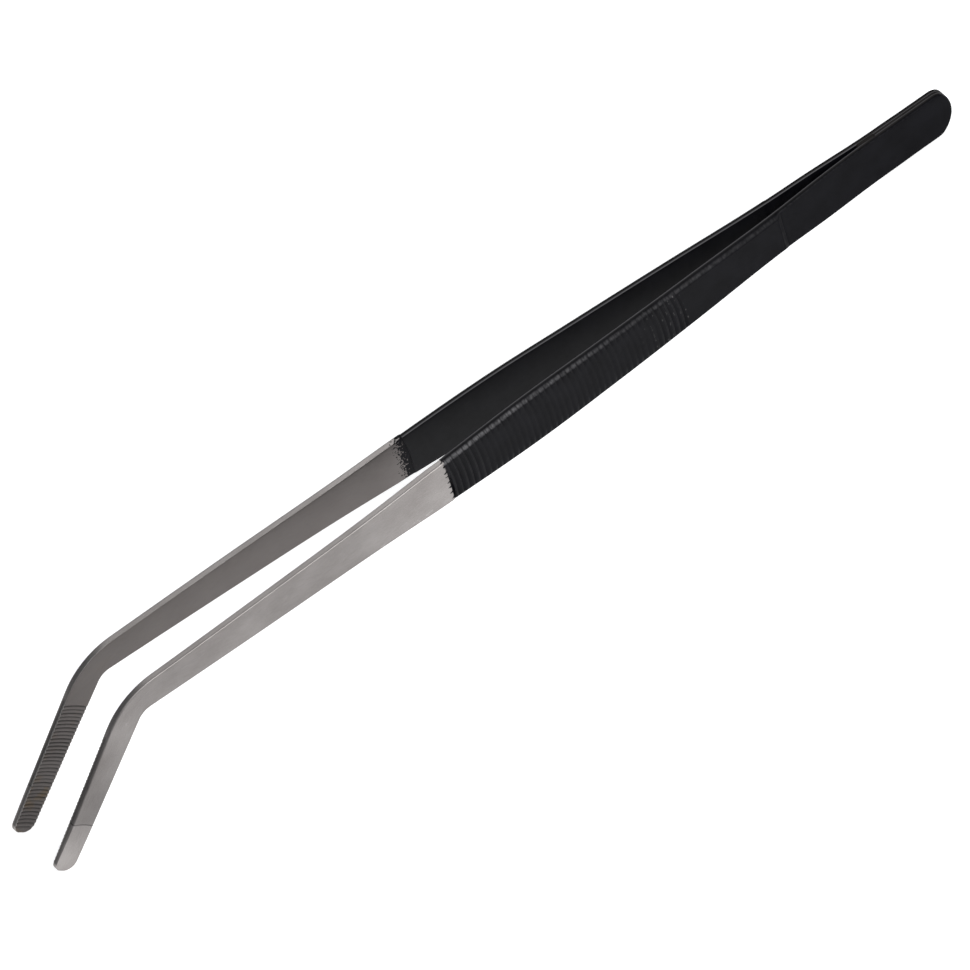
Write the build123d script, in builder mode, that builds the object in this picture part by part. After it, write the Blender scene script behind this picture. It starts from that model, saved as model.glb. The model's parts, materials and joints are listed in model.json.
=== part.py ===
from build123d import *
import os
from math import cos, hypot, radians, sin, sqrt

# Curved aquascaping tweezers standing on their two tips and their tail, all sizes in mm.
# The body axis runs from the tips (-x) to the welded tail (+x); z is the leaf width.
# The near arm lies on -y and the far arm on +y.

# Resting position of the body axis
rest_tilt = 5.968
shift_x = 1.091
lift_z = 19.593

# Stations along the body axis
tail_x = 135.55
weld_x = 115.0
flare_x = 117.0
flex_x = 100.5
step_x = 86.0
rib_first_x = 54.6
coat_end_x = -14.5
bend_split_x = -94.0

# Leaf thickness and the gap between the leaves
spring_thickness = 1.2
handle_thickness = 1.95
blade_thickness = 1.7
tail_half_gap = 0.3
flare = (
    (flare_x, 0.0),
    (106.0, 0.052),
    (58.0, 0.05),
    (40.0, 0.0405),
    (0.0, 0.036),
    (-14.0, 0.026),
    (-40.0, 0.0225),
    (-80.0, 0.0115),
    (-104.0, 0.006),
    (-140.0, 0.0),
)

# Side outline of a leaf
tail_top_z = 6.35
tail_bottom_z = -6.05
tail_end_radius = 8.0
tail_end_rise = 1.0
tail_corner_radius = 3.5
top_edge = (
    (weld_x, 6.28),
    (98.0, 6.33),
    (step_x, 6.0),
    (60.0, 6.45),
    (34.0, 6.92),
    (10.0, 7.38),
    (-12.0, 6.72),
    (-34.0, 5.7),
    (-66.0, 5.08),
)
bottom_edge = (
    (weld_x, -6.2),
    (97.0, -6.2),
    (step_x, -5.85),
    (60.0, -6.6),
    (34.0, -7.3),
    (12.0, -7.53),
    (-12.0, -6.45),
    (-34.0, -5.15),
    (-66.0, -4.1),
)
bend_outer = (-106.5, 4.3)
bend_inner = (-102.75, -2.98)
tip_outer = (-135.4, -30.9)
tip_inner = (-131.1, -34.5)
bend_outer_radius = 19.0
bend_inner_radius = 4.5
tip_outer_radius = 1.8
tip_inner_radius = 2.8

# Edge finish
handle_bevel = 1.0
blade_edge_radius = 0.5
step_ramp = 1.2

# Grip ribs pressed across the outside of each handle
rib_count = 43
rib_pitch = 1.6
rib_radius = 0.62
rib_depth = 0.28

# Serrations across the inside of each jaw
tooth_count = 34
tooth_pitch = 0.97
tooth_depth = 0.22
tooth_end_margin = 0.9

# Ground relief on the outside of each jaw
relief_length = 11.0
relief_depth = 0.45

# Black coating
coat_thickness = 0.1

# Weld between the tail leaves
seam_inset = 0.05
bead_radius = 0.7
bead_length = 4.0
bead_drop = 0.4

body_x = Vector(cos(radians(rest_tilt)), 0, -sin(radians(rest_tilt)))
body_z = Vector(sin(radians(rest_tilt)), 0, cos(radians(rest_tilt)))
side_plane = Plane(origin=(shift_x, 0, lift_z), x_dir=body_x, z_dir=(0, -1, 0))
plan_plane = Plane(origin=(shift_x, 0, lift_z), x_dir=body_x, z_dir=body_z)

# The jaw runs from the middle of the tip end towards the middle of the bend.
jaw_mid_x = (tip_outer[0] + tip_inner[0]) / 2
jaw_mid_z = (tip_outer[1] + tip_inner[1]) / 2
jaw_run = (bend_outer[0] + bend_inner[0]) / 2 - jaw_mid_x
jaw_rise = (bend_outer[1] + bend_inner[1]) / 2 - jaw_mid_z
jaw_cos = jaw_run / hypot(jaw_run, jaw_rise)
jaw_sin = jaw_rise / hypot(jaw_run, jaw_rise)
jaw_plane = Plane(
    origin=side_plane.from_local_coords((jaw_mid_x, jaw_mid_z, 0)),
    x_dir=body_x * jaw_cos + body_z * jaw_sin,
    z_dir=body_x * jaw_sin - body_z * jaw_cos,
)

# Two mirror-image arms: the near one on -y, the far one on +y.
sides = {"near": -1, "far": 1}


def half_gap(x):
    """Distance from the middle plane to the inner face of a leaf at station x."""
    gap = tail_half_gap
    for (x_a, slope_a), (x_b, slope_b) in zip(flare, flare[1:]):
        length = x_a - x_b
        run = min(max(x_a - x, 0.0), length)
        gap += slope_a * run + (slope_b - slope_a) * run ** 2 / (2 * length)
    return gap


def gap_slope(x):
    """How fast the inner face leaves the middle plane at station x."""
    for (x_a, slope_a), (x_b, slope_b) in zip(flare, flare[1:]):
        if x >= x_b:
            share = max(x_a - x, 0.0) / (x_a - x_b)
            return slope_a + (slope_b - slope_a) * share
    return flare[-1][1]


def face_line(side, x_low, x_high, offset):
    """A face of a leaf in plan, offset outward from its inner face; flat past the flare."""
    curve_high = min(x_high, flare_x)
    steps = max(3, round((curve_high - x_low) / 8))
    xs = [x_low + (curve_high - x_low) * i / steps for i in range(steps + 1)]
    points = [(x, side * (half_gap(x) + offset)) for x in xs]
    ends = [(1, -side * gap_slope(x)) for x in (x_low, curve_high)]
    Spline(*points, tangents=ends)
    if x_high > flare_x:
        Line(points[-1], (x_high, points[-1][1]))


def leaf_plan(side, x_low, x_high, thickness, inset, ramp):
    """Plan outline of one length of leaf, shrunk by inset on both faces.

    A ramp thins the tail end of the length down to the spring thickness.
    """
    outer_offset = thickness - inset
    end_offset = outer_offset
    if ramp > 0:
        end_offset = spring_thickness - inset
    low_inner = (x_low, side * (half_gap(x_low) + inset))
    low_outer = (x_low, side * (half_gap(x_low) + outer_offset))
    high_inner = (x_high, side * (half_gap(x_high) + inset))
    high_outer = (x_high, side * (half_gap(x_high) + end_offset))
    with BuildLine() as outline:
        face_line(side, x_low, x_high, inset)
        face_line(side, x_low, x_high - ramp, outer_offset)
        if ramp > 0:
            Line((x_high - ramp, side * (half_gap(x_high - ramp) + outer_offset)), high_outer)
        Line(high_inner, high_outer)
        Line(low_inner, low_outer)
    make_face(outline.edges())


def tail_corner(edge_z, inset):
    """Where the round tail end meets the long edge that reaches it at height edge_z."""
    reach = sqrt(tail_end_radius ** 2 - (edge_z - tail_end_rise) ** 2) - tail_end_radius
    return (tail_x - inset + reach, edge_z - inset * edge_z / abs(edge_z))


def leaf_outline(inset):
    """Side outline of a whole leaf, shrunk by inset on the long edges and the tail."""
    top = [(x, z - inset) for x, z in top_edge]
    bottom = [(x, z + inset) for x, z in bottom_edge]
    high_corner = tail_corner(tail_top_z, inset)
    low_corner = tail_corner(tail_bottom_z, inset)
    rounded = (
        (high_corner, tail_corner_radius),
        (low_corner, tail_corner_radius),
        (bend_outer, bend_outer_radius),
        (bend_inner, bend_inner_radius),
        (tip_outer, tip_outer_radius),
        (tip_inner, tip_inner_radius),
    )
    with BuildSketch(side_plane) as outline:
        with BuildLine():
            Spline(*top)
            Line(top[-1], bend_outer)
            Line(bend_outer, tip_outer)
            Line(tip_outer, tip_inner)
            Line(tip_inner, bend_inner)
            Line(bend_inner, bottom[-1])
            Spline(*reversed(bottom))
            Line(bottom[0], low_corner)
            ThreePointArc(low_corner, (tail_x - inset, tail_end_rise), high_corner)
            Line(high_corner, top[0])
        make_face()
        for corner, radius in rounded:
            fillet(outline.vertices().sort_by_distance(corner)[0], radius)
    return outline.sketch


def leaf(side, x_low, x_high, thickness, inset=0.0, ramp=0.0):
    """One length of a leaf with square edges."""
    with BuildPart() as blank:
        with BuildSketch(plan_plane.offset(-60)):
            leaf_plan(side, x_low, x_high, thickness, inset, ramp)
        extrude(amount=120)
        extrude(leaf_outline(inset), amount=12, both=True, mode=Mode.INTERSECT)
    return blank.part


def outer_edges(shape, side, x_low):
    """Edges of a leaf's main outer face, without those across its two ends."""
    outward = shape.faces().filter_by(lambda face: side * face.normal_at().Y > 0.9)
    outer = outward.sort_by(lambda face: face.area)[-2:]
    face = outer.sort_by(lambda item: side * item.center().Y)[-1]
    ends = face.edges().filter_by(GeomType.LINE).filter_by(lambda edge: edge.length < 15)
    return face.edges() - ends.filter_by(
        lambda edge: abs(plan_plane.to_local_coords(edge.center()).X - x_low) < 0.01
    )


def rib_grooves(side, inset):
    """Cutters for the grip ribs, swollen by inset."""
    with BuildPart() as cutters:
        with BuildSketch(plan_plane.offset(-12)):
            for i in range(rib_count):
                x = rib_first_x - rib_pitch * i
                y = half_gap(x) + handle_thickness + rib_radius - rib_depth
                with Locations((x, side * y)):
                    Circle(rib_radius + inset)
        extrude(amount=24)
    return cutters.part


def ribbed_handle(side, inset):
    """A handle with its bevels and grip ribs, shrunk by inset all round."""
    bevel = handle_bevel - inset * (2 - sqrt(2))
    with BuildPart() as handle:
        add(leaf(side, coat_end_x, step_x, handle_thickness, inset, step_ramp))
        edges = outer_edges(handle.part, side, coat_end_x)
        chamfer(edges.filter_by(lambda edge: edge.length > 50), bevel)
        add(rib_grooves(side, inset), mode=Mode.SUBTRACT)
    return handle.part


def jaw_teeth(side):
    """Cutters for the serrations across the inside of a jaw."""
    with BuildPart() as cutters:
        with BuildSketch(jaw_plane.offset(-6)):
            for i in range(tooth_count):
                along = tooth_end_margin + tooth_pitch * (i + 0.5)
                gap = half_gap(jaw_mid_x + jaw_cos * along)
                root = (along, -side * (gap + tooth_depth))
                left = (along - tooth_pitch * 0.42, -side * (gap - 0.02))
                right = (along + tooth_pitch * 0.42, -side * (gap - 0.02))
                with BuildLine() as groove:
                    Polyline(root, left, right, close=True)
                make_face(groove.edges())
        extrude(amount=12)
    return cutters.part


def jaw_relief(side):
    """Cutter that thins the outside of a jaw towards its tip."""
    outer = half_gap(jaw_mid_x) + blade_thickness
    with BuildPart() as cutter:
        with BuildSketch(jaw_plane.offset(-8)):
            with BuildLine() as wedge:
                Polyline(
                    (-3, -side * (outer - relief_depth)),
                    (relief_length, -side * outer),
                    (relief_length, -side * (outer + 2)),
                    (-3, -side * (outer + 2)),
                    close=True,
                )
            make_face(wedge.edges())
        extrude(amount=16)
    return cutter.part


os.makedirs("parts", exist_ok=True)
tail_solids = []

for name, side in sides.items():
    with BuildPart() as tail_leaf:
        add(leaf(side, flex_x, tail_x + 1, spring_thickness, coat_thickness))
    tail_leaf.part.label = f"{name}_tail_leaf"
    export_step(tail_leaf.part, f"parts/{name}_tail_leaf.step")

    with BuildPart() as tail_coat:
        add(leaf(side, flex_x, tail_x + 1, spring_thickness))
        add(tail_leaf.part, mode=Mode.SUBTRACT)
    tail_coat.part.label = f"{name}_tail_coat"
    export_step(tail_coat.part, f"parts/{name}_tail_coat.step")

    with BuildPart() as spring_leaf:
        add(leaf(side, step_x, flex_x, spring_thickness, coat_thickness))
    spring_leaf.part.label = f"{name}_spring_leaf"
    export_step(spring_leaf.part, f"parts/{name}_spring_leaf.step")

    with BuildPart() as spring_coat:
        add(leaf(side, step_x, flex_x, spring_thickness))
        add(spring_leaf.part, mode=Mode.SUBTRACT)
    spring_coat.part.label = f"{name}_spring_coat"
    export_step(spring_coat.part, f"parts/{name}_spring_coat.step")

    with BuildPart() as handle:
        add(ribbed_handle(side, coat_thickness))
    handle.part.label = f"{name}_handle"
    export_step(handle.part, f"parts/{name}_handle.step")

    with BuildPart() as handle_coat:
        add(ribbed_handle(side, 0.0))
        add(handle.part, mode=Mode.SUBTRACT)
    handle_coat.part.label = f"{name}_handle_coat"
    export_step(handle_coat.part, f"parts/{name}_handle_coat.step")

    with BuildPart() as blade:
        add(leaf(side, bend_split_x, coat_end_x, blade_thickness))
        fillet(outer_edges(blade.part, side, bend_split_x), blade_edge_radius)
    blade.part.label = f"{name}_blade"
    export_step(blade.part, f"parts/{name}_blade.step")

    with BuildPart() as jaw:
        add(leaf(side, tip_outer[0] - 5, bend_split_x, blade_thickness))
        fillet(outer_edges(jaw.part, side, bend_split_x), blade_edge_radius)
        add(jaw_teeth(side), mode=Mode.SUBTRACT)
        add(jaw_relief(side), mode=Mode.SUBTRACT)
    jaw.part.label = f"{name}_jaw"
    export_step(jaw.part, f"parts/{name}_jaw.step")
    tail_solids.append(tail_leaf.part)
    tail_solids.append(tail_coat.part)

with BuildPart() as weld_seam:
    extrude(leaf_outline(seam_inset), amount=1, both=True)
    split(bisect_by=Plane(side_plane.from_local_coords((weld_x, 0, 0)), z_dir=body_x))
    for solid in tail_solids:
        add(solid, mode=Mode.SUBTRACT)
weld_seam.part.label = "weld_seam"
export_step(weld_seam.part, "parts/weld_seam.step")

bead_heights = {"top": top_edge[0][1] - bead_drop, "bottom": bottom_edge[0][1] + bead_drop}
for name, z in bead_heights.items():
    bead_x = weld_x - bead_length / 2
    bead_plane = Plane(side_plane.from_local_coords((bead_x, z, 0)), z_dir=body_x)
    with BuildPart() as bead:
        with Locations(bead_plane):
            Cylinder(bead_radius, bead_length)
        for end in (-bead_length / 2, bead_length / 2):
            with Locations(bead_plane.offset(end)):
                Sphere(bead_radius)
        for solid in tail_solids:
            add(solid, mode=Mode.SUBTRACT)
        add(weld_seam.part, mode=Mode.SUBTRACT)
    bead.part.label = f"weld_bead_{name}"
    export_step(bead.part, f"parts/weld_bead_{name}.step")
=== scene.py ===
"""Looks of a pair of curved aquascaping tweezers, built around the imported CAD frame.

Each arm is one long strip: a black-coated grip with pressed ribs, and a bare satin
steel blade that ends in a bent, serrated jaw. Sizes in mm are given along the body
axis, which runs from the tips (-x) to the joined tail (+x), with z across the leaf.
"""

import json
import math

import bmesh
import bpy
import numpy as np
from mathutils import Matrix, Vector


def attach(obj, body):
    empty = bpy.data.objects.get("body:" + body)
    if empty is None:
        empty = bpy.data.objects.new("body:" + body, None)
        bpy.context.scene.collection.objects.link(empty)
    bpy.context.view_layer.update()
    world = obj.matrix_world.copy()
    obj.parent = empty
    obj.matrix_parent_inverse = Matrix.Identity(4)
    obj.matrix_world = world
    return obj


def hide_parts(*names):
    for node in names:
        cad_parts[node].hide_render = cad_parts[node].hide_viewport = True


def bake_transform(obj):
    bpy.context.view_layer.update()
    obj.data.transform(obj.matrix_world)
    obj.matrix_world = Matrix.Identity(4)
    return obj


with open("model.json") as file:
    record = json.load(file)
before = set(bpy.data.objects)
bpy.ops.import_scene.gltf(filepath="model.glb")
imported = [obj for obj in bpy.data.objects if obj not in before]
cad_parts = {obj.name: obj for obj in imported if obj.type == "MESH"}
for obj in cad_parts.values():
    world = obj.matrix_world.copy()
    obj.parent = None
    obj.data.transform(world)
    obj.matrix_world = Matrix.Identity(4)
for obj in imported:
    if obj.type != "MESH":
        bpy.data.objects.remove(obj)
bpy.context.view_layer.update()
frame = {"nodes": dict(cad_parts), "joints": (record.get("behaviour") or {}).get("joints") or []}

MM = 0.001

# ---------------------------------------------------------------- body axes
JOINTS = {joint["name"]: joint for joint in frame["joints"]}
FLEX_X = 100.5
BODY_Z = np.array(JOINTS["far_arm_flex"]["axis"], float)
BODY_Y = np.array([0.0, 1.0, 0.0])
BODY_X = np.cross(BODY_Y, BODY_Z)
ORIGIN = np.array(JOINTS["far_arm_flex"]["pos_m"], float) - FLEX_X * MM * BODY_X
ORIGIN[1] = 0.0

# ---------------------------------------------------------------- dimensions, mm
TAIL_X = 135.55
WELD_X = 115.0
STEP_X = 86.0
STEP_RAMP = 1.2
SPRING_THICKNESS = 1.2
HANDLE_THICKNESS = 1.95
BLADE_THICKNESS = 1.7
TAIL_HALF_GAP = 0.3
FLARE = (
    (117.0, 0.0), (106.0, 0.052), (58.0, 0.05), (40.0, 0.0405), (0.0, 0.036),
    (-14.0, 0.026), (-40.0, 0.0225), (-80.0, 0.0115), (-104.0, 0.006), (-140.0, 0.0),
)
TAIL_HEIGHTS = {1: 6.35, -1: 6.05}
TAIL_END_RADIUS = 8.0
TAIL_END_RISE = 1.0
TAIL_CORNER_RADIUS = 3.5
TOP_EDGE = (
    (WELD_X, 6.28), (98.0, 6.33), (STEP_X, 6.0), (60.0, 6.45), (34.0, 6.92),
    (10.0, 7.38), (-12.0, 6.72), (-34.0, 5.7), (-66.0, 5.08),
)
BOTTOM_EDGE = (
    (WELD_X, -6.2), (97.0, -6.2), (STEP_X, -5.85), (60.0, -6.6), (34.0, -7.3),
    (12.0, -7.53), (-12.0, -6.45), (-34.0, -5.15), (-66.0, -4.1),
)
BEND_OUTER = np.array([-106.5, 4.3])
BEND_INNER = np.array([-102.75, -2.98])
TIP_OUTER = np.array([-135.4, -30.9])
TIP_INNER = np.array([-131.1, -34.5])
BEND_OUTER_RADIUS = 19.0
BEND_INNER_RADIUS = 4.5
TIP_OUTER_RADIUS = 1.8
TIP_INNER_RADIUS = 2.8

HANDLE_BEVEL = 1.0
# The bevel's profile is a superellipse: a power of 2 is round and a power of 1 is flat.
ROUND_POWER = 2.0
HANDLE_BEVEL_POWER = 1.2
SPRING_EDGE_RADIUS = 0.32
TAIL_EDGE_RADIUS = 0.5
BLADE_EDGE_RADIUS = 0.5
INNER_EDGE_RADIUS = 0.12

RIB_FIRST_X = 54.6
RIB_COUNT = 43
RIB_PITCH = 1.6
RIB_RADIUS = 0.62
RIB_DEPTH = 0.28
RIB_DEPTH_SPREAD = (0.8, 1.1)
RIB_SHARPNESS = 1.15
# Between these stations the ribs are nearly flat on the face and deep on the edges.
FLAT_RIBS_TO_X = 46.0
FLAT_RIBS_FROM_X = -1.0
FLAT_RIBS_SHARE = 0.2
# How far onto the outer face, as a share of its width, the ribs' deep ends reach.
RIB_END_SHARE = 0.13

TOOTH_COUNT = 34
TOOTH_PITCH = 0.97
TOOTH_DEPTH = 0.22
TOOTH_DEPTH_SPREAD = (0.85, 1.1)
TOOTH_END_MARGIN = 0.9
TOOTH_HALF_WIDTH = 0.374

RELIEF_LENGTH = 12.2
RELIEF_DEPTH = 0.45
RELIEF_STEP = 0.04
RELIEF_OVERRUN = 3.0

# The black coat ends a little differently on the two arms.
COAT_END_X = {"near": -13.5, "far": -15.5}
COAT_STEP = 0.08
# Under the coat the steel is thinned so that it stays below the grip's ribs.
HIDDEN_STEP = 0.35

# Rib lines are pressed slightly slanted and bowed across the leaf, and tooth lines bowed.
RIB_SLANT = 0.3
RIB_BOW = 0.4
TOOTH_SLANT = 0.0
TOOTH_BOW = 0.22

SIDES = {"near": -1.0, "far": 1.0}

JAW_MID = (TIP_OUTER + TIP_INNER) / 2
JAW_DIR = (BEND_OUTER + BEND_INNER) / 2 - JAW_MID
JAW_DIR = JAW_DIR / np.hypot(*JAW_DIR)

# Sections turn through the bend between this station and this distance from the tip.
FAN_X = -92.0
FAN_ALONG = 36.0
FAN_COUNT = 44
# The straight part of each edge ends here, and its jaw part within this distance of the tip.
STRAIGHT_END_X = -95.0
JAW_REACH = 40.0
EDGE_STEP = 0.02
EDGE_WINDOW = 31
SHARP_ANGLE = math.radians(27)
MERGE_DISTANCE = 2e-7


# ---------------------------------------------------------------- shape of a leaf
def half_gap(x):
    """Distance from the middle plane to the inner face of a leaf at stations x."""
    gap = np.full(np.shape(x), TAIL_HALF_GAP)
    for (x_a, slope_a), (x_b, slope_b) in zip(FLARE, FLARE[1:]):
        length = x_a - x_b
        run = np.clip(x_a - x, 0.0, length)
        gap = gap + slope_a * run + (slope_b - slope_a) * run**2 / (2 * length)
    return gap


def smooth(x, low, high):
    """Smooth step from 0 at low to 1 at high."""
    t = np.clip((x - low) / (high - low), 0.0, 1.0)
    return t * t * (3 - 2 * t)


def edge_curve(points, corner):
    """Points every mm of the curved edge through the given points, on to a straight run."""
    xs, zs = np.array(points).T
    run = np.diff(zs) / np.diff(xs)
    last = (corner[1] - zs[-1]) / (corner[0] - xs[-1])
    inner = (run[:-1] * np.diff(xs)[1:] + run[1:] * np.diff(xs)[:-1]) / (xs[2:] - xs[:-2])
    slopes = np.concatenate([[run[0]], inner, [last]])
    out = []
    for i in range(len(xs) - 1):
        count = int(round(xs[i] - xs[i + 1]))
        t = np.linspace(0, 1, count, endpoint=False)
        step = xs[i + 1] - xs[i]
        z = (
            (2 * t**3 - 3 * t**2 + 1) * zs[i]
            + (t**3 - 2 * t**2 + t) * step * slopes[i]
            + (3 * t**2 - 2 * t**3) * zs[i + 1]
            + (t**3 - t**2) * step * slopes[i + 1]
        )
        out += list(zip(xs[i] + step * t, z))
    return out + [points[-1]]


def rounded(before, corner, after, radius, steps=24):
    """Points of the arc that rounds a corner between two straight runs."""
    u = (before - corner) / np.hypot(*(before - corner))
    v = (after - corner) / np.hypot(*(after - corner))
    half = math.acos(float(u @ v)) / 2
    turn = math.pi - 2 * half
    centre = corner + (u + v) / np.hypot(*(u + v)) * radius / math.sin(half)
    start = corner + u * radius / math.tan(half) - centre
    end = corner + v * radius / math.tan(half) - centre
    points = []
    for t in np.linspace(0, 1, steps):
        weight_a = math.sin((1 - t) * turn) / math.sin(turn)
        weight_b = math.sin(t * turn) / math.sin(turn)
        points.append(centre + weight_a * start + weight_b * end)
    return points


class Edge:
    """One long edge of the side outline, from the middle of the tail end to the tip."""

    def __init__(self, sign, curve, bend, tip, other_tip, bend_radius, tip_radius):
        arc_centre = TAIL_X - TAIL_END_RADIUS
        turn = math.asin((TAIL_HEIGHTS[sign] - sign * TAIL_END_RISE) / TAIL_END_RADIUS)
        margin = TAIL_CORNER_RADIUS / TAIL_END_RADIUS * math.tan((math.pi / 2 - turn) / 2)
        points = []
        for angle in np.linspace(0, turn - margin, 30):
            x = arc_centre + TAIL_END_RADIUS * math.cos(angle)
            points.append((x, TAIL_END_RISE + sign * TAIL_END_RADIUS * math.sin(angle)))
        corner_x = arc_centre + TAIL_END_RADIUS * math.cos(turn)
        corner = np.array([corner_x, sign * TAIL_HEIGHTS[sign]])
        inward = corner - [TAIL_END_RADIUS, 0]
        points += rounded(np.array(points[-1]), corner, inward, TAIL_CORNER_RADIUS)
        points += edge_curve(curve, bend)
        points += rounded(np.array(points[-1]), bend, tip, bend_radius, 60)
        points += rounded(bend, tip, other_tip, tip_radius)
        raw = np.array(points)
        length = np.concatenate([[0], np.cumsum(np.hypot(*np.diff(raw, axis=0).T))])
        self.s = np.arange(0, length[-1], EDGE_STEP)
        self.points = np.stack([np.interp(self.s, length, raw[:, i]) for i in (0, 1)], 1)
        window = np.hanning(EDGE_WINDOW)
        pad = EDGE_WINDOW // 2
        padded = np.pad(self.points, ((pad, pad), (0, 0)), mode="reflect", reflect_type="odd")
        soft = [np.convolve(padded[:, i], window / window.sum(), "valid") for i in (0, 1)]
        direction = np.gradient(np.stack(soft, 1), axis=0)
        direction /= np.hypot(*direction.T)[:, None]
        self.normals = sign * np.stack([direction[:, 1], -direction[:, 0]], 1)
        self.along = (self.points - JAW_MID) @ JAW_DIR

    def at_x(self, x):
        """Path length where the straight part of the edge passes station x."""
        upto = int(np.argmax(self.points[:, 0] < STRAIGHT_END_X))
        return np.interp(-np.asarray(x), -self.points[:upto, 0], self.s[:upto])

    def at_jaw(self, along):
        """Path length where the jaw part of the edge passes a distance from the tip."""
        begin = int(np.argmax(self.along < JAW_REACH))
        low = begin + int(np.argmin(self.along[begin:]))
        part = slice(begin, low + 1)
        return np.interp(-np.asarray(along), -self.along[part], self.s[part])

    def sample(self, s):
        """Positions and outward normals at path lengths s."""
        found = [
            np.stack([np.interp(s, self.s, values[:, i]) for i in (0, 1)], 1)
            for values in (self.points, self.normals)
        ]
        return found[0], found[1]


TOP = Edge(
    1, TOP_EDGE, BEND_OUTER, TIP_OUTER, TIP_INNER, BEND_OUTER_RADIUS, TIP_OUTER_RADIUS
)
BOTTOM = Edge(
    -1, BOTTOM_EDGE, BEND_INNER, TIP_INNER, TIP_OUTER, BEND_INNER_RADIUS, TIP_INNER_RADIUS
)


# ---------------------------------------------------------------- cross-section
# The parts of a section in order round it: faces, long bands between them, outer bevels,
# and rims, which are the roundings of the inner edges.
INNER, TOP_RIM, TOP_BAND, TOP_BEVEL, OUTER, BOTTOM_BEVEL, BOTTOM_BAND, BOTTOM_RIM = range(8)

FACE_SHARES = np.linspace(0, 1, 17)
BEVEL_ANGLES = np.linspace(0, math.pi / 2, 9)
RIM_ANGLES = np.linspace(0, math.pi / 2, 5)


def section_loop():
    """The points of one ring in order: which part each is on, and where on that part."""
    loop = [(INNER, share) for share in FACE_SHARES[::-1]]
    loop += [(TOP_RIM, angle) for angle in RIM_ANGLES[1:]]
    loop += [(TOP_BAND, 0.5)]
    loop += [(TOP_BEVEL, angle) for angle in BEVEL_ANGLES]
    loop += [(OUTER, share) for share in FACE_SHARES[1:-1]]
    loop += [(BOTTOM_BEVEL, angle) for angle in BEVEL_ANGLES[::-1]]
    loop += [(BOTTOM_BAND, 0.5)]
    loop += [(BOTTOM_RIM, angle) for angle in RIM_ANGLES[:0:-1]]
    return np.array(loop)


LOOP = section_loop()
PART = LOOP[:, 0].astype(int)
PLACE = LOOP[:, 1]
ON_INNER = PART == INNER
ON_OUTER = PART == OUTER
ON_RIMS = np.isin(PART, (TOP_RIM, BOTTOM_RIM))
ON_BANDS = np.isin(PART, (TOP_BAND, BOTTOM_BAND))
ON_BEVELS = np.isin(PART, (TOP_BEVEL, BOTTOM_BEVEL))

# Zones of the section that the materials finish differently, each from 0 to 1.
ZONES = {
    "inner": np.where(ON_INNER, 1.0, 0.0),
    "bevel": np.where(ON_BEVELS, np.sin(2 * PLACE), 0.0),
    "rim": np.where(ON_RIMS, 1.0, 0.0),
    "band": np.where(ON_BANDS, 1.0, 0.0),
}


class Rings:
    """Stations along an arm, each with its section sizes, which become one strip mesh."""

    def __init__(self):
        self.rows = []

    def straight(self, xs, **sizes):
        """Rings across the leaf at stations x."""
        for x in xs:
            self.rows.append(
                dict(sizes, top=float(TOP.at_x(x)), bottom=float(BOTTOM.at_x(x)), x=float(x))
            )

    def jaw(self, alongs, **sizes):
        """Rings square to the jaw at distances from its tip."""
        for along in alongs:
            self.rows.append(
                dict(
                    sizes,
                    top=float(TOP.at_jaw(along)),
                    bottom=float(BOTTOM.at_jaw(along)),
                    along=float(along),
                )
            )

    def fan(self, count):
        """Rings that turn through the bend."""
        ends = [(edge.at_x(FAN_X), edge.at_jaw(FAN_ALONG)) for edge in (TOP, BOTTOM)]
        for t in np.linspace(0, 1, count + 2)[1:-1]:
            top, bottom = [a + (b - a) * t for a, b in ends]
            self.rows.append(dict(top=float(top), bottom=float(bottom)))

    def column(self, key, default=0.0):
        """One size of every ring, as a column."""
        return np.array([row.get(key, default) for row in self.rows], float)[:, None]

    def along_arm(self, middle):
        """Each ring's place along the arm in metres: x on the straight, then path length."""
        places = []
        for i, row in enumerate(self.rows):
            step = np.hypot(*(middle[i] - middle[i - 1])) if i else 0.0
            places.append(row["x"] if "x" in row else places[-1] - step)
        return np.array(places) * MM


def section_offsets(rings):
    """How far in from its edge each point of each ring lies, and its height on the leaf."""
    thickness = rings.column("thickness")
    bevel = rings.column("bevel")
    power = rings.column("power", ROUND_POWER)
    low = rings.column("low")
    radius = rings.column("radius", INNER_EDGE_RADIUS)
    flat = thickness - bevel
    cos, sin = np.cos(PLACE)[None, :], np.sin(PLACE)[None, :]
    norm = (np.abs(cos) ** power + np.abs(sin) ** power) ** (-1 / power)

    inset = np.zeros((len(thickness), len(PART)))
    height = np.zeros_like(inset)
    inset[:, ON_INNER] = radius
    height[:, ON_INNER] = low
    inset[:, ON_RIMS] = (radius * (1 - sin))[:, ON_RIMS]
    height[:, ON_RIMS] = (low + radius * (1 - cos))[:, ON_RIMS]
    height[:, ON_BANDS] = (low + radius + flat) / 2
    inset[:, ON_BEVELS] = (bevel * (1 - norm * cos))[:, ON_BEVELS]
    height[:, ON_BEVELS] = (flat + bevel * norm * sin)[:, ON_BEVELS]
    inset[:, ON_OUTER] = bevel
    height[:, ON_OUTER] = thickness

    from_bevel = np.minimum(PLACE, 1 - PLACE) / RIB_END_SHARE
    fade = np.where(ON_OUTER, np.maximum(0.0, 1 - from_bevel) ** 2, 1.0)[None, :]
    fade = fade + (1 - fade) * rings.column("face_share", 1.0)
    height = np.minimum(height, thickness - rings.column("outer_cut") * fade)
    height = np.maximum(height, low + rings.column("inner_cut"))
    return inset, height


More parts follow.
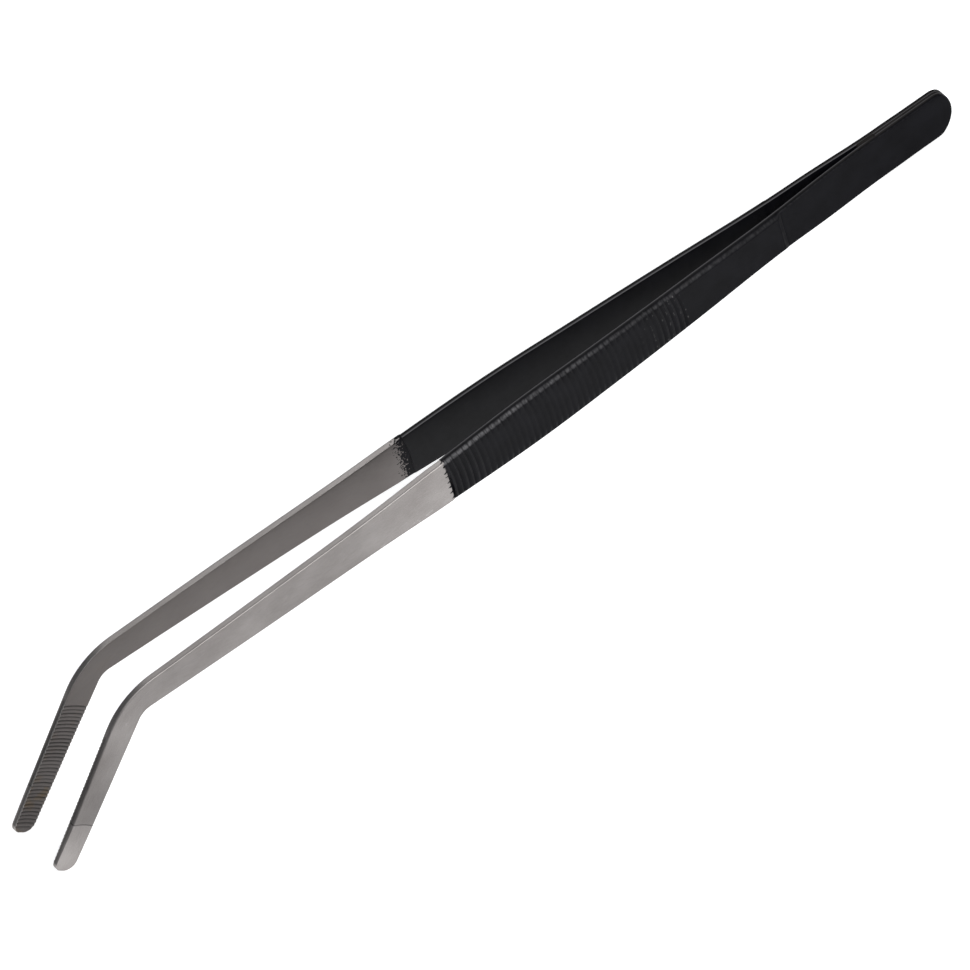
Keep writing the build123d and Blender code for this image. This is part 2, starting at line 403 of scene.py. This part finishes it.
def strip_mesh(name, side, rings, slant, bow):
    """A closed strip mesh through the rings, with metre UVs: along the arm and round it.

    A ring's line size says how far its points follow the slant and bow across the leaf,
    and its face_share how much of the outer cut is left in the middle of the outer face.
    """
    top, top_normal = TOP.sample(rings.column("top")[:, 0])
    bottom, bottom_normal = BOTTOM.sample(rings.column("bottom")[:, 0])
    closed = rings.column("closed")
    top = top - top_normal * rings.column("inset")
    bottom = bottom - bottom_normal * rings.column("inset")
    middle = (top + bottom) / 2
    top = top + (middle - top) * closed
    bottom = bottom + (middle - bottom) * closed

    share = np.zeros((1, len(PART)))
    share[0, ON_INNER | ON_OUTER] = PLACE[ON_INNER | ON_OUTER]
    share[0, PART >= BOTTOM_BEVEL] = 1.0
    inset, height = section_offsets(rings)
    from_top = top[:, None, :] - top_normal[:, None, :] * inset[..., None]
    from_bottom = bottom[:, None, :] - bottom_normal[:, None, :] * inset[..., None]
    across = from_top + (from_bottom - from_top) * share[..., None]
    shift = slant * (2 * share - 1) + bow * 4 * share * (1 - share)
    direction = np.where(rings.column("along", -1.0) >= 0, JAW_DIR[None, :], [[1.0, 0.0]])
    across = across + direction[:, None, :] * (rings.column("line") * shift)[..., None]

    x, z = across[..., 0], across[..., 1]
    y = side * (half_gap(x) + height)
    world = ORIGIN + MM * (
        x[..., None] * BODY_X + y[..., None] * BODY_Y + z[..., None] * BODY_Z
    )
    groove = np.where(ON_INNER, rings.column("inner_mark"), rings.column("outer_mark"))
    return build(name, world, rings.along_arm(middle), groove)


def build(name, world, u, groove):
    """An object whose faces join the rings of points in world.

    u is each ring's place, and groove how deep each point lies in a rib, tooth or mark.
    """
    rows, columns = world.shape[:2]
    step = np.linalg.norm(np.roll(world, -1, axis=1) - world, axis=2)
    v = np.concatenate([np.zeros((rows, 1)), np.cumsum(step, axis=1)], axis=1)
    centre = int(np.argmin(np.where(ON_OUTER, np.abs(PLACE - 0.5), np.inf)))
    v = v - v[:, centre : centre + 1]

    faces = []
    uvs = []
    for r in range(rows - 1):
        for c in range(columns):
            d = (c + 1) % columns
            here, there = r * columns, (r + 1) * columns
            faces.append([here + c, here + d, there + d, there + c])
            uvs += [(u[r], v[r, c]), (u[r], v[r, c + 1])]
            uvs += [(u[r + 1], v[r + 1, c + 1]), (u[r + 1], v[r + 1, c])]
    for r in (0, rows - 1):
        faces.append([r * columns + c for c in range(columns)])
        uvs += [(u[r], v[r, c]) for c in range(columns)]

    mesh = bpy.data.meshes.new(name)
    mesh.from_pydata(world.reshape(-1, 3).tolist(), [], faces)
    for zone, share in ZONES.items():
        layer = mesh.attributes.new(zone, "FLOAT", "POINT")
        layer.data.foreach_set("value", np.tile(share, rows).astype(np.float32))
    layer = mesh.attributes.new("groove", "FLOAT", "POINT")
    layer.data.foreach_set("value", groove.astype(np.float32).ravel())
    layer = mesh.uv_layers.new(name="UVMap")
    layer.uv.foreach_set("vector", np.array(uvs, np.float32).ravel())
    work = bmesh.new()
    work.from_mesh(mesh)
    bmesh.ops.remove_doubles(work, verts=work.verts, dist=MERGE_DISTANCE)
    bmesh.ops.dissolve_degenerate(work, edges=work.edges, dist=MERGE_DISTANCE)
    bmesh.ops.recalc_face_normals(work, faces=work.faces)
    work.to_mesh(mesh)
    work.free()
    mesh.polygons.foreach_set("use_smooth", [True] * len(mesh.polygons))
    mesh.set_sharp_from_angle(angle=SHARP_ANGLE)
    obj = bpy.data.objects.new(name, mesh)
    bpy.context.scene.collection.objects.link(obj)
    return obj


# ---------------------------------------------------------------- the arms
def descending(high, low, step):
    """Evenly spaced stations from high down to low, both ends included."""
    return np.linspace(high, low, max(2, int(round((high - low) / step)) + 1))


# Rings are closest where the tail end is steepest, and across each rib and tooth.
TAIL_END_ANGLES = np.radians(
    [0, 1.5, 3, 5, 8, 11, 15, 19, 24, 29, 34, 39, 44, 49, 54, 58, 61, 64]
)
TAIL_CORNER_X = 130.1
TIP_ALONGS = [0.055, 0.035, 0.018, 0.006, 0.0]
RIB_OFFSETS = np.array([0.68, RIB_RADIUS, 0.5, 0.38, 0.26, 0.15, 0.06])
TOOTH_OFFSETS = np.array([0.44, TOOTH_HALF_WIDTH, 0.19])


def rib_cut(x, depths):
    """Depth of the grip ribs at station x."""
    index = int(np.clip(round((RIB_FIRST_X - x) / RIB_PITCH), 0, RIB_COUNT - 1))
    offset = abs(x - (RIB_FIRST_X - RIB_PITCH * index)) / RIB_RADIUS
    return depths[index] * max(0.0, 1 - offset) ** RIB_SHARPNESS


def tooth_cut(along, depths):
    """Depth of the jaw serrations at a distance from the tip."""
    index = int(np.clip((along - TOOTH_END_MARGIN) // TOOTH_PITCH, 0, TOOTH_COUNT - 1))
    offset = abs(along - TOOTH_END_MARGIN - TOOTH_PITCH * (index + 0.5))
    return depths[index] * max(0.0, 1 - offset / TOOTH_HALF_WIDTH)


def relief_cut(along):
    """How far the outside of a jaw is ground down at a distance from the tip."""
    if along > RELIEF_LENGTH:
        return 0.0
    slope = RELIEF_DEPTH / (RELIEF_LENGTH + RELIEF_OVERRUN)
    return RELIEF_STEP + slope * (RELIEF_LENGTH - along)


def grip(name, side, random):
    """The coated length of an arm, from the tail end to the edge of the coat."""
    end_x = COAT_END_X[name]
    depths = RIB_DEPTH * random.uniform(*RIB_DEPTH_SPREAD, RIB_COUNT)
    rings = Rings()
    end = TAIL_X - TAIL_END_RADIUS * (1 - np.cos(TAIL_END_ANGLES))
    rings.straight(end[:1], closed=1.0)
    rings.straight(end[1:])
    rings.straight(descending(TAIL_CORNER_X + 0.6, TAIL_CORNER_X - 0.5, 0.2))
    rings.straight(descending(TAIL_CORNER_X - 1.1, STEP_X + 0.5, 1.0))
    rings.straight([STEP_X + 0.1, STEP_X])
    rings.straight(descending(STEP_X - STEP_RAMP / 4, STEP_X - STEP_RAMP, 0.3))
    rings.straight([STEP_X - STEP_RAMP - 0.1])
    rings.straight(descending(STEP_X - STEP_RAMP - 1, RIB_FIRST_X + 1.5, 1.0))
    for i in range(RIB_COUNT):
        centre = RIB_FIRST_X - RIB_PITCH * i
        stations = np.concatenate([centre + RIB_OFFSETS, [centre], centre - RIB_OFFSETS[::-1]])
        rings.straight([x for x in stations if x > end_x + 0.02])
    rings.straight(descending(min(rings.rows[-1]["x"] - 0.1, end_x + 0.5), end_x, 0.25))
    for row in rings.rows:
        x = row["x"]
        ramp = np.clip((STEP_X - x) / STEP_RAMP, 0, 1)
        row["thickness"] = SPRING_THICKNESS + (HANDLE_THICKNESS - SPRING_THICKNESS) * ramp
        row["bevel"] = SPRING_EDGE_RADIUS + (HANDLE_BEVEL - SPRING_EDGE_RADIUS) * ramp
        in_tail = smooth(x, WELD_X + 2, WELD_X + 10)
        row["bevel"] += (TAIL_EDGE_RADIUS - SPRING_EDGE_RADIUS) * in_tail
        row["radius"] = INNER_EDGE_RADIUS * (1 - 0.9 * smooth(x, WELD_X - 3, WELD_X))
        row["power"] = ROUND_POWER + (HANDLE_BEVEL_POWER - ROUND_POWER) * ramp
        row["outer_cut"] = rib_cut(x, depths) if x < RIB_FIRST_X + 1 else 0.0
        row["outer_mark"] = row["outer_cut"] / RIB_DEPTH
        deep = smooth(x, FLAT_RIBS_TO_X, FLAT_RIBS_TO_X + 6)
        deep = max(deep, smooth(-x, -FLAT_RIBS_FROM_X, -FLAT_RIBS_FROM_X + 7))
        row["face_share"] = FLAT_RIBS_SHARE + (1 - FLAT_RIBS_SHARE) * deep
        row["line"] = 1.0 - smooth(x, RIB_FIRST_X + 2, RIB_FIRST_X + 16)
    return strip_mesh(f"{name}_grip", side, rings, RIB_SLANT, RIB_BOW)


def blade(name, side, random):
    """The bare steel length of an arm, from under the coat to the jaw's tip."""
    coat_x = COAT_END_X[name]
    depths = TOOTH_DEPTH * random.uniform(*TOOTH_DEPTH_SPREAD, TOOTH_COUNT)
    rings = Rings()
    rings.straight(descending(coat_x + 2.5, FAN_X, 1.0))
    rings.fan(FAN_COUNT)
    teeth_from = TOOTH_END_MARGIN + TOOTH_PITCH * TOOTH_COUNT
    rings.jaw(descending(FAN_ALONG, teeth_from + 0.1, 0.4))
    for i in range(TOOTH_COUNT - 1, 2, -1):
        centre = TOOTH_END_MARGIN + TOOTH_PITCH * (i + 0.5)
        rings.jaw(np.concatenate([centre + TOOTH_OFFSETS, [centre], centre - TOOTH_OFFSETS[::-1]]))
    last = rings.rows[-1]["along"]
    rings.jaw(descending(last - 0.08, 0.08, 0.08))
    rings.jaw(TIP_ALONGS)
    rings.jaw([0.0], closed=1.0)
    for row in rings.rows:
        along = row.get("along", FAN_ALONG)
        x = row.get("x", FAN_X)
        row["low"] = COAT_STEP * smooth(x, coat_x - 5, coat_x)
        row["inset"] = row["low"]
        row["thickness"] = BLADE_THICKNESS - HIDDEN_STEP * smooth(x, coat_x, coat_x + 0.4)
        row["bevel"] = BLADE_EDGE_RADIUS
        row["outer_cut"] = relief_cut(along)
        row["outer_mark"] = max(0.0, 1.2 - abs(along - RELIEF_LENGTH) / 0.25)
        row["inner_cut"] = tooth_cut(along, depths) if along < teeth_from else 0.0
        row["inner_mark"] = row["inner_cut"] / TOOTH_DEPTH
        row["line"] = smooth(FAN_ALONG - along, 0.0, 1.5) * smooth(along, 0.0, 3.0)
    return strip_mesh(f"{name}_blade_and_jaw", side, rings, TOOTH_SLANT, TOOTH_BOW)


# ---------------------------------------------------------------- materials
class Shader:
    """A Principled node material under construction, with short calls for its nodes."""

    def __init__(self, name, coordinates):
        self.material = bpy.data.materials.new(name)
        self.material.use_nodes = True
        self.tree = self.material.node_tree
        self.surface = self.tree.nodes["Principled BSDF"]
        source = self.tree.nodes.new("ShaderNodeTexCoord")
        self.place = source.outputs[coordinates]
        self.axes = self.add("ShaderNodeSeparateXYZ", [self.place])

    def add(self, kind, inputs=(), **settings):
        """A node with its inputs set or linked in order (None leaves one as it is)."""
        node = self.tree.nodes.new(kind)
        for key, value in settings.items():
            setattr(node, key, value)
        for socket, value in zip(node.inputs, inputs):
            self.put(socket, value)
        return node

    def put(self, socket, value):
        """Links a socket to another's output, or sets its value."""
        if isinstance(value, bpy.types.Node):
            value = value.outputs[0]
        if isinstance(value, bpy.types.NodeSocket):
            self.tree.links.new(value, socket)
        elif value is not None:
            socket.default_value = value

    def math(self, operation, a, b=None, clamp=False):
        """A Math node."""
        return self.add("ShaderNodeMath", [a, b], operation=operation, use_clamp=clamp)

    def noise(self, scale, detail=2.0, stretch=(1.0, 1.0, 1.0), offset=0.0):
        """Noise from 0 to 1 with features of about 1/scale metres, stretched by axis."""
        mapping = self.add("ShaderNodeMapping", [self.place, (offset, offset, offset)])
        mapping.inputs["Scale"].default_value = stretch
        node = self.add("ShaderNodeTexNoise")
        self.put(node.inputs["Vector"], mapping)
        node.inputs["Scale"].default_value = scale
        node.inputs["Detail"].default_value = detail
        return node.outputs["Fac"]

    def span(self, value, low, high, to_low=0.0, to_high=1.0):
        """value mapped from low..high to to_low..to_high, held at the ends."""
        node = self.add("ShaderNodeMapRange", [value, low, high, to_low, to_high])
        return node.outputs[0]

    def blend(self, share, a, b):
        """Colour from a to b by share."""
        node = self.add("ShaderNodeMix", data_type="RGBA")
        self.put(node.inputs["Factor"], share)
        self.put(node.inputs["A"], a)
        self.put(node.inputs["B"], b)
        return node.outputs["Result"]

    def profile(self, stops):
        """A value that runs along the arm through the stops, each (place in mm, value)."""
        first, last = stops[-1][0], stops[0][0]
        node = self.add("ShaderNodeFloatCurve")
        self.put(node.inputs["Factor"], 1.0)
        self.put(node.inputs["Value"], self.span(self.axes, first * MM, last * MM))
        curve = node.mapping.curves[0]
        node.mapping.use_clip = False
        places = [((place - first) / (last - first), value / 2) for place, value in stops[::-1]]
        for point, place in zip(curve.points, (places[0], places[-1])):
            point.location = place
        for place in places[1:-1]:
            curve.points.new(*place)
        for point in curve.points:
            point.handle_type = "VECTOR"
        node.mapping.update()
        return self.math("MULTIPLY", node, 2.0)

    def scaled(self, colour, value):
        """Colour multiplied by a value."""
        node = self.add("ShaderNodeVectorMath", [colour], operation="SCALE")
        self.put(node.inputs["Scale"], value)
        return node

    def zone(self, name):
        """How far a point lies in one of the section's zones."""
        return self.add("ShaderNodeAttribute", attribute_name=name).outputs["Fac"]

    def bump(self, height, distance, strength, under=None):
        """A Bump node; distance in metres."""
        node = self.add("ShaderNodeBump")
        node.inputs["Strength"].default_value = strength
        node.inputs["Distance"].default_value = distance
        self.put(node.inputs["Height"], height)
        if under is not None:
            self.put(node.inputs["Normal"], under)
        return node.outputs[0]

    def set(self, **values):
        """Sets or links sockets of the Principled shader; spaces in names are underscores."""
        for key, value in values.items():
            self.put(self.surface.inputs[key.replace("_", " ")], value)


COAT_DARK = (0.0020, 0.0020, 0.0030, 1)
COAT_LIGHT = (0.0040, 0.0040, 0.0056, 1)
COAT_DUST = (0.030, 0.030, 0.034, 1)
COAT_WORN = (0.085, 0.083, 0.082, 1)
# Painted highlight: the grey that the outer bevels and inner rims show where the light catches
# them.
COAT_HIGHLIGHT = (0.105, 0.103, 0.107, 1)
WELD_DARK = (0.0100, 0.0092, 0.0088, 1)
WELD_LIGHT = (0.0190, 0.0172, 0.0160, 1)
WELD_GLOSS = 0.05

# How glossy the coat is, and how strong the painted highlight on its outer bevels is, along the
# arm in mm.
COAT_GLOSS = (
    (136, 0.33), (112, 0.36), (90, 0.4), (86.3, 0.42), (86.0, 0.2), (84.7, 0.2),
    (84.4, 0.44), (50, 0.55), (0, 0.6), (-16, 0.62),
)
BEVEL_HIGHLIGHT = (
    (136, 0.03), (86, 0.12), (60, 0.26), (40, 0.30), (20, 0.60), (0, 0.85), (-8, 1.05), (-16, 1.2),
)
# Between these places, in metres, the coat on the long edges turns greyer towards the tail.
BAND_GREY_FROM = 0.08
BAND_GREY_TO = 0.11


def coat_material(name, coordinates, dark, light, wear_and_highlights):
    """Semi-gloss black coat: faint mottling, orange peel and dust, with wear and painted
    highlights on the grips.
    """
    s = Shader(name, coordinates)
    mottled = s.blend(s.span(s.noise(160, 3), 0.35, 0.65), dark, light)
    specks = s.span(s.noise(2600, 2, offset=3.0), 0.72, 0.82)
    patches = s.span(s.noise(60, 2, offset=5.0), 0.45, 0.7)
    outside = s.span(s.zone("inner"), 0, 1, 1, 0)
    dusty = s.math("MULTIPLY", s.math("MULTIPLY", specks, patches), outside)
    colour = s.blend(dusty, mottled, COAT_DUST)
    gloss = WELD_GLOSS
    if wear_and_highlights:
        colour = grip_wear_and_highlights(s, colour, outside)
        shine = s.span(s.zone("inner"), 0, 1, 0.1, 0.16)
        gloss = s.math("MULTIPLY", s.profile(COAT_GLOSS), shine)
    roughness = s.span(s.noise(700, 3, offset=1.0), 0.3, 0.7, 0.34, 0.46)
    peel = s.bump(s.noise(2200, 2, offset=2.0), 0.00003, 0.35)
    s.set(Base_Color=colour, Roughness=roughness, Normal=peel, Specular_IOR_Level=gloss)
    return s.material


def grip_wear_and_highlights(s, colour, outside):
    """Marks on a grip's coat: worn specks on the first ribs' crests, painted highlights on the
    outer bevels and inner rims, and long edges greyer towards the tail.
    """
    phase = s.math("MULTIPLY_ADD", s.axes, 1 / (RIB_PITCH * MM))
    phase.inputs[2].default_value = 0.5 - RIB_FIRST_X / RIB_PITCH
    from_groove = s.math("ABSOLUTE", s.math("SUBTRACT", s.math("FRACT", phase), 0.5))
    # The fraction is 0.5 in a groove, so a crest lies where it is near 0 or 1.
    crest = s.span(from_groove, 0.36, 0.46)
    first_ribs = s.span(s.axes, (RIB_FIRST_X - 14) * MM, (RIB_FIRST_X - 1) * MM)
    on_ribs = s.span(s.axes, (RIB_FIRST_X + 2) * MM, (RIB_FIRST_X + 0.8) * MM)
    rubbed = s.span(s.noise(900, 3, (0.5, 1.0, 1.0), 8.0), 0.56, 0.70)
    specks = s.math("MULTIPLY", s.math("MULTIPLY", crest, rubbed), outside)
    specks = s.math("MULTIPLY", specks, s.math("MULTIPLY", first_ribs, on_ribs))
    colour = s.blend(specks, colour, COAT_WORN)
    # Painted highlight on the outer bevels, strongest towards the coat's end, weaker in the rib
    # grooves and broken into streaks.
    streaks = s.span(s.noise(1500, 4, (1.0, 0.5, 1.0), 12.0), 0.35, 0.7, 0.35, 1.5)
    bevels = s.math("MULTIPLY", s.zone("bevel"), s.profile(BEVEL_HIGHLIGHT))
    bevels = s.math("MULTIPLY", bevels, s.span(s.zone("groove"), 0.4, 0.95, 1.0, 0.3))
    colour = s.blend(s.math("MULTIPLY", bevels, streaks, clamp=True), colour, COAT_HIGHLIGHT)
    # Painted highlight along the inner rims.
    colour = s.blend(s.math("MULTIPLY", s.zone("rim"), 0.9), colour, COAT_HIGHLIGHT)
    band_grey = s.span(s.axes, BAND_GREY_FROM, BAND_GREY_TO, 0.2, 0.85)
    return s.blend(s.math("MULTIPLY", s.zone("band"), band_grey), colour, WELD_LIGHT)


STEEL_DARK = (0.192, 0.178, 0.172, 1)
STEEL_LIGHT = (0.278, 0.263, 0.256, 1)
# Light grey of the scratches, also used for the painted highlight on the jaw's inner rims.
STEEL_SCRATCH_AND_HIGHLIGHT = (0.45, 0.44, 0.43, 1)
# The inner face's darker greys are painted shade between the arms.
STEEL_INNER_SHADE = (0.122, 0.111, 0.107, 1)
STEEL_INNER_SHADE_LIGHT = (0.134, 0.123, 0.119, 1)
STEEL_TINT = (0.15, 0.108, 0.060, 1)

# How light the steel is painted along the arm: place in mm past the bend by path, value.
STEEL_TONES = (
    (-14, 1.28), (-25, 1.2), (-40, 1.0), (-60, 0.95), (-80, 1.02), (-94, 0.92), (-111.8, 1.0),
    (-119.8, 0.9), (-127.8, 0.775), (-133.8, 0.75), (-135.4, 0.77), (-135.8, 1.0),
    (-139.8, 1.1), (-143.8, 1.26), (-148, 1.3),
)
# Painted shade on the inner face along the arm, darker towards the tip.
INNER_SHADE_TONES = ((-14, 1.2), (-25, 1.0), (-94, 0.93), (-112, 0.88), (-125, 0.78), (-148, 0.78))
TINT_SHARES = (
    (-14, 0.0), (-112, 0.05), (-122, 0.35), (-133, 0.5), (-138.5, 1.0), (-142, 1.0), (-148, 0.6),
)
# Place past the bend by path, in metres, where the jaw begins.
JAW_START = -0.1125


def steel_material(name, coordinates, coat_x, fringe):
    """Satin steel: fine brushing along the strip, clouds, light scratches, coat fringe, painted
    shade on the inner face and on the jaw's long bands, painted highlights on the jaw's inner
    rims, and darker tooth valleys and relief line.
    """
    s = Shader(name, coordinates)
    clouds = s.noise(110, 3, (0.6, 1.0, 1.0))
    brushing = s.noise(5200, 2, (0.08, 1.0, 1.0), 4.0)
    grit = s.noise(3400, 3, offset=15.0)
    outer = outer_steel(s, clouds, brushing, grit)
    # The inner face takes its painted-shade colours here.
    colour = s.blend(s.span(s.zone("inner"), 0.9, 1.0), outer, shaded_inner_steel(s, clouds))
    # Painted highlight along the jaw's inner rims, in the scratch colour.
    on_jaw = s.span(s.axes, JAW_START, JAW_START - 0.001)
    rim = s.math("MULTIPLY", s.math("MULTIPLY", s.zone("rim"), on_jaw), 0.3)
    colour = s.blend(rim, colour, STEEL_SCRATCH_AND_HIGHLIGHT)
    shaded_band = s.math("MULTIPLY", s.zone("band"), on_jaw)
    colour = s.scaled(colour, s.span(shaded_band, 0.0, 1.0, 1.0, 0.5))
    colour = s.scaled(colour, s.span(s.zone("groove"), 0.3, 1.0, 1.0, 0.35))
    colour, coated = coat_fringe(s, colour, coat_x, fringe)
    roughness = s.span(brushing, 0.3, 0.7, 0.36, 0.48)
    grain = s.bump(grit, 0.000012, 0.35, s.bump(brushing, 0.000012, 0.25))
    s.set(Base_Color=colour, Roughness=roughness, Normal=grain)
    s.set(Metallic=s.math("SUBTRACT", 1.0, coated))
    s.set(Specular_IOR_Level=s.span(coated, 0.0, 1.0, 0.5, 0.06))
    return s.material


def outer_steel(s, clouds, brushing, grit):
    """Colour of the outside: clouds, brushing and grit mixed, with a few light scratches."""
    mixed = s.math("ADD", s.math("MULTIPLY", clouds, 0.45), s.math("MULTIPLY", brushing, 0.3))
    mixed = s.math("ADD", mixed, s.math("MULTIPLY", grit, 0.25))
    colour = s.blend(s.span(mixed, 0.39, 0.61), STEEL_DARK, STEEL_LIGHT)
    line = s.math("ABSOLUTE", s.math("SUBTRACT", s.noise(420, 1, (0.35, 1.0, 1.0), 7.0), 0.5))
    scratched = s.span(s.noise(90, 1, offset=9.0), 0.55, 0.7)
    scratch = s.math("MULTIPLY", s.span(line, 0.004, 0.0), scratched)
    colour = s.blend(s.math("MULTIPLY", scratch, 0.5), colour, STEEL_SCRATCH_AND_HIGHLIGHT)
    return s.scaled(colour, s.profile(STEEL_TONES))


def shaded_inner_steel(s, clouds):
    """Colour of the inner face: cloudy grey darkened as painted shade between the arms, more
    towards the tip, with a brown tint in patches near the tip.
    """
    tinted = s.blend(s.span(s.noise(190, 3, offset=6.0), 0.5, 0.68), STEEL_INNER_SHADE, STEEL_TINT)
    cloudy = s.blend(s.span(clouds, 0.3, 0.7), STEEL_INNER_SHADE, STEEL_INNER_SHADE_LIGHT)
    colour = s.blend(s.profile(TINT_SHARES), cloudy, tinted)
    return s.scaled(colour, s.profile(INNER_SHADE_TONES))


# How the coat runs out over the steel: its reach in mm, and the spacing of any spikes.
FRINGES = {"near": {"reach": 1.1, "pitch": 1.72}, "far": {"reach": 3.8, "pitch": None}}


def coat_fringe(s, colour, coat_x, fringe):
    """Coat marks beyond the coat's edge: the colour with them, and how coated a point is."""
    reach, pitch = fringe["reach"], fringe["pitch"]
    beyond = s.span(s.axes, coat_x * MM, (coat_x - reach) * MM)
    mask = overspray(s, beyond) if pitch is None else spikes(s, beyond, pitch)
    mask = s.math("MULTIPLY", mask, s.math("LESS_THAN", beyond, 0.999))
    return s.blend(mask, colour, COAT_LIGHT), mask


def overspray(s, beyond):
    """Specks of coat that thin out from the coat's edge."""
    limit = s.span(beyond, 0.0, 1.0, 0.26, 0.67)
    over = s.math("SUBTRACT", s.noise(1700, 2, offset=11.0), limit)
    return s.span(over, 0.0, 0.02)


def spikes(s, beyond, pitch):
    """Short uneven points of coat, side by side across the leaf."""
    waver = s.math("MULTIPLY", s.noise(600, 1, offset=11.0), 0.9)
    phase = s.math("ADD", s.math("MULTIPLY", s.axes.outputs[1], 1 / (pitch * MM)), waver)
    away = s.math("ABSOLUTE", s.math("SUBTRACT", s.math("FRACT", phase), 0.5))
    length = s.span(away, 0.02, 0.19, 1.0, 0.12)
    length = s.math("MULTIPLY", length, s.span(s.noise(450, 1, offset=2.0), 0.3, 0.7, 0.6, 1.0))
    return s.span(s.math("SUBTRACT", length, beyond), 0.0, 0.06)


def finish_cad(node, material):
    """Gives its material to a CAD node that stays in view."""
    mesh = frame["nodes"][node].data
    mesh.materials.clear()
    mesh.materials.append(material)


# ---------------------------------------------------------------- the object
SEED = 27


coat = coat_material("black_coat", "UV", COAT_DARK, COAT_LIGHT, wear_and_highlights=True)
random = np.random.default_rng(SEED)
for name, side in SIDES.items():
    strip = grip(name, side, random)
    strip.data.materials.append(coat)
    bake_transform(strip)
    coated = ("tail_leaf", "tail_coat", "spring_leaf", "spring_coat", "handle", "handle_coat")
    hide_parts(*[f"{name}_{node}" for node in coated])

    steel = blade(name, side, random)
    steel.data.materials.append(
        steel_material(f"{name}_steel", "UV", COAT_END_X[name], FRINGES[name])
    )
    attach(steel, f"{name}_arm")
    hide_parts(f"{name}_blade", f"{name}_jaw")

bead_coat = coat_material("bead_coat", "Object", WELD_DARK, WELD_LIGHT, wear_and_highlights=False)
finish_cad("weld_bead_top", bead_coat)
finish_cad("weld_bead_bottom", bead_coat)
finish_cad("weld_seam", bead_coat)


# ---------------------------------------------------------------- camera, floor, light
def direction(x, y, z):
    """A direction given along the body axes, as a unit vector in the row frame."""
    return Vector(x * BODY_X + y * BODY_Y + z * BODY_Z).normalized()


VIEW_RIGHT = (0.7895, -0.5802, -0.2002)
VIEW_UP = (0.5498, 0.5234, 0.651)
VIEW_DISTANCE = 7.0
VIEW_WIDTH = 0.2194
VIEW_SHIFT_RIGHT = 0.00156
VIEW_SHIFT_UP = -0.01208
FLOOR_GLOW = 0.62
FLOOR_RADIUS = 3.0
FLOOR_DROP = 0.0002
WORLD_STRENGTH = 0.22
WORLD_TINT = (0.93, 0.95, 1.0, 1)
LIGHT_DISTANCE = 1.6


def add_camera():
    """A long-lens camera above the near arm, with the tips low left and the tail high right."""
    right = direction(*VIEW_RIGHT)
    up = direction(*VIEW_UP)
    back = right.cross(up).normalized()
    up = back.cross(right)
    data = bpy.data.cameras.new("camera")
    data.sensor_width = 36.0
    data.lens = data.sensor_width * VIEW_DISTANCE / VIEW_WIDTH
    camera = bpy.data.objects.new("camera", data)
    target = Vector(ORIGIN) + right * VIEW_SHIFT_RIGHT + up * VIEW_SHIFT_UP
    turn = Matrix((right, up, back)).transposed().to_4x4()
    camera.matrix_world = Matrix.Translation(target + back * VIEW_DISTANCE) @ turn
    bpy.context.scene.collection.objects.link(camera)
    bpy.context.scene.camera = camera


def add_floor():
    """A wide pale floor under the tips and the tail."""
    mesh = bpy.data.meshes.new("floor")
    work = bmesh.new()
    bmesh.ops.create_circle(work, cap_ends=True, segments=96, radius=FLOOR_RADIUS)
    work.to_mesh(mesh)
    work.free()
    floor = bpy.data.objects.new("floor", mesh)
    floor.location.z = -FLOOR_DROP
    bpy.context.scene.collection.objects.link(floor)
    s = Shader("floor", "Object")
    s.set(Base_Color=(0.9, 0.9, 0.9, 1), Roughness=0.9, Specular_IOR_Level=0.1)
    s.set(Emission_Color=(1, 1, 1, 1), Emission_Strength=FLOOR_GLOW)
    mesh.materials.append(s.material)


def add_softbox(name, azimuth, elevation, size, power):
    """A square soft light aimed at the object."""
    data = bpy.data.lights.new(name, "AREA")
    data.shape = "SQUARE"
    data.size = size
    data.energy = power
    lamp = bpy.data.objects.new(name, data)
    a, e = math.radians(azimuth), math.radians(elevation)
    back = Vector((math.sin(a) * math.cos(e), -math.cos(a) * math.cos(e), math.sin(e)))
    lamp.location = back * LIGHT_DISTANCE
    lamp.rotation_mode = "QUATERNION"
    lamp.rotation_quaternion = (-back).to_track_quat("-Z", "Y")
    lamp.visible_camera = False
    bpy.context.scene.collection.objects.link(lamp)


def add_world():
    """A dim, slightly cool light from all round."""
    world = bpy.data.worlds.new("studio")
    world.use_nodes = True
    background = world.node_tree.nodes["Background"]
    background.inputs["Color"].default_value = WORLD_TINT
    background.inputs["Strength"].default_value = WORLD_STRENGTH
    bpy.context.scene.world = world


add_camera()
add_floor()
add_softbox("softbox_front", azimuth=-20, elevation=55, size=1.2, power=9)
add_softbox("softbox_back", azimuth=150, elevation=50, size=1.0, power=6)
add_softbox("softbox_side", azimuth=22, elevation=38, size=0.7, power=12)
add_world()
bpy.context.scene.view_settings.view_transform = "Standard"
